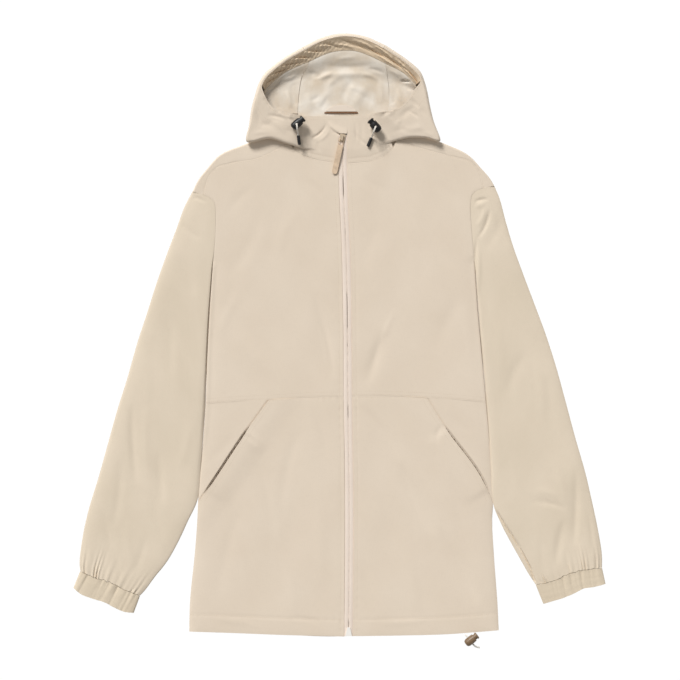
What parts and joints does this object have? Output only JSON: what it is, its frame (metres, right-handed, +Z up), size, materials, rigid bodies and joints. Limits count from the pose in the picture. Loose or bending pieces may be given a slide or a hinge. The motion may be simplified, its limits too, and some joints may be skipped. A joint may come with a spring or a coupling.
{
  "type": "shell jacket",
  "caption": "Hooded shell jacket laid flat on its back: full-length front zip, slanted pockets, elastic cuffs, gathered hood facing, drawcords with spring locks.",
  "frame": {"origin": "centre of the bounding box's underside, on the surface that the jacket lies on, measured without the cords and what is on them", "axes": "+Z up from the surface, towards the viewer; +Y from the hem to the hood; +X to the right as seen from above"},
  "size_m": [0.825, 0.9521, 0.0368],
  "materials": {
    "shell_cloth": "matte woven cotton and nylon",
    "lining_cloth": "smooth woven lining",
    "facing_cloth": "matte woven cotton and nylon",
    "zip_tape": "woven tape",
    "brown_tape": "woven tape",
    "cord": "braided",
    "black_plastic": "moulded, satin",
    "tan_plastic": "moulded, satin",
    "pull_tab": "moulded, matt",
    "zip_metal": "plated"
  },
  "bodies": {
    "jacket": {"back": "shell_cloth", "collar_left": "shell_cloth", "collar_right": "shell_cloth", "cord_end_left": "black_plastic", "cord_end_right": "black_plastic", "cord_lock_hem": "tan_plastic", "cord_lock_left": "black_plastic", "cord_lock_right": "black_plastic", "cuff_left": "shell_cloth", "cuff_right": "shell_cloth", "drawcord_left": "cord", "drawcord_right": "cord", "front_lower_left": "shell_cloth", "front_lower_right": "shell_cloth", "front_upper_left": "shell_cloth", "front_upper_right": "shell_cloth", "hanger_loop": "brown_tape", "hem_cord": "cord", "hood_centre": "shell_cloth", "hood_facing": "facing_cloth", "hood_lining_centre": "lining_cloth", "hood_lining_left": "lining_cloth", "hood_lining_right": "lining_cloth", "hood_side_left": "shell_cloth", "hood_side_right": "shell_cloth", "neck_patch": "lining_cloth", "pocket_side_left": "shell_cloth", "pocket_side_right": "shell_cloth", "sleeve_left": "shell_cloth", "sleeve_right": "shell_cloth", "zip_box": "zip_metal", "zip_slider": "zip_metal", "zip_tape_left": "zip_tape", "zip_tape_right": "zip_tape"},
    "zip_pull": {"zip_pull": "pull_tab"},
    "lock_button_left": {"lock_button_left": "black_plastic"},
    "lock_button_right": {"lock_button_right": "black_plastic"},
    "lock_button_hem": {"lock_button_hem": "tan_plastic"}
  },
  "joints": [
    {"name": "zip_pull_swing", "type": "hinge", "parent": "jacket", "child": "zip_pull", "pos_m": [0.0037, 0.30376, 0.0085], "axis": [-0.9759, 0.2183, 0], "range_deg": [0, 160]},
    {"name": "lock_button_left_press", "type": "slide", "parent": "jacket", "child": "lock_button_left", "axis": [-0.7547, -0.6561, 0], "range_m": [0, 0.003], "stiffness_N_per_m": 400},
    {"name": "lock_button_right_press", "type": "slide", "parent": "jacket", "child": "lock_button_right", "axis": [0.6561, -0.7547, 0], "range_m": [0, 0.003], "stiffness_N_per_m": 400},
    {"name": "lock_button_hem_press", "type": "slide", "parent": "jacket", "child": "lock_button_hem", "axis": [-0.788, -0.6157, 0], "range_m": [0, 0.003], "stiffness_N_per_m": 400}
  ]
}
